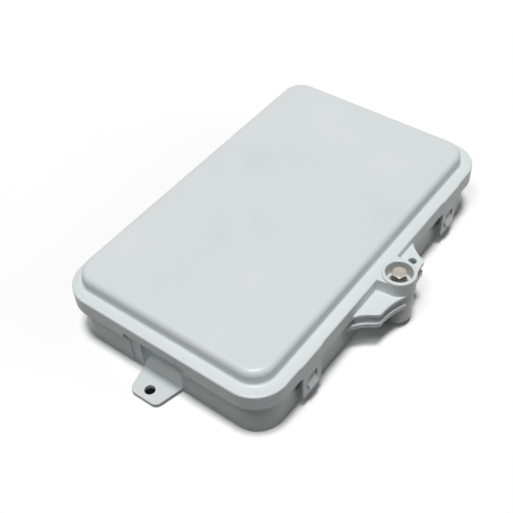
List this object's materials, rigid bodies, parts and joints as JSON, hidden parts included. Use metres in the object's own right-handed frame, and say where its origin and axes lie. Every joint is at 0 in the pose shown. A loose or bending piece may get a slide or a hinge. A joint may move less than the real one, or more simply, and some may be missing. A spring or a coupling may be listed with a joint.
{
  "type": "fibre distribution box",
  "caption": "Wall-mounted fibre distribution box: hinged lid with a raised panel, two latches and a hex lock screw, over a row of adapters, a splice tray and sealed cable entries.",
  "frame": {"origin": "middle of the flat back face, on the wall plane", "axes": "+Z out of the wall through the lid, +Y along the length towards the cable entries, +X towards the lock"},
  "size_m": [0.1655, 0.2562, 0.0455],
  "materials": {
    "white_shell": "moulded, satin gloss",
    "grey_plastic": "moulded, satin",
    "green_plastic": "moulded, satin",
    "clear_plastic": "natural, smooth",
    "rubber_seal": "matt",
    "zinc_steel": "zinc plated",
    "brass": "turned"
  },
  "bodies": {
    "box_base": {"base": "white_shell", "lock_insert": "brass", "adapter_panel": "grey_plastic", "splice_tray": "clear_plastic", "splice_holder": "grey_plastic", "splitter_module": "zinc_steel", "adapter_1": "green_plastic", "adapter_2": "green_plastic", "adapter_3": "green_plastic", "adapter_4": "green_plastic", "adapter_5": "green_plastic", "adapter_6": "green_plastic", "adapter_7": "green_plastic", "adapter_8": "green_plastic", "dust_cap_1": "clear_plastic", "dust_cap_2": "clear_plastic", "dust_cap_3": "clear_plastic", "dust_cap_4": "clear_plastic", "dust_cap_5": "clear_plastic", "dust_cap_6": "clear_plastic", "dust_cap_7": "clear_plastic", "dust_cap_8": "clear_plastic", "hinge_pin_1": "zinc_steel", "panel_screw_1": "zinc_steel", "cable_grommet_1": "rubber_seal", "drop_cable_seal_1": "rubber_seal", "cable_clamp_1": "grey_plastic", "hinge_pin_2": "zinc_steel", "panel_screw_2": "zinc_steel", "cable_grommet_2": "rubber_seal", "drop_cable_seal_2": "rubber_seal", "cable_clamp_2": "grey_plastic", "tray_screw_1": "zinc_steel", "clamp_screw_1": "zinc_steel", "tray_screw_2": "zinc_steel", "clamp_screw_2": "zinc_steel", "tray_screw_3": "zinc_steel", "clamp_screw_3": "zinc_steel", "tray_screw_4": "zinc_steel", "clamp_screw_4": "zinc_steel"},
    "box_lid": {"lid": "white_shell", "lid_gasket": "rubber_seal"},
    "lock": {"lock_screw": "zinc_steel", "lock_washer": "clear_plastic"}
  },
  "joints": [
    {"name": "lid_hinge", "type": "hinge", "parent": "box_base", "child": "box_lid", "pos_m": [-0.0742, 0, 0.0234], "axis": [0, -1, 0], "range_deg": [0, 125]},
    {"name": "lock_turn", "type": "hinge", "parent": "box_lid", "child": "lock", "pos_m": [0.0785, 0, 0.03], "axis": [0, 0, 1], "continuous": true}
  ]
}
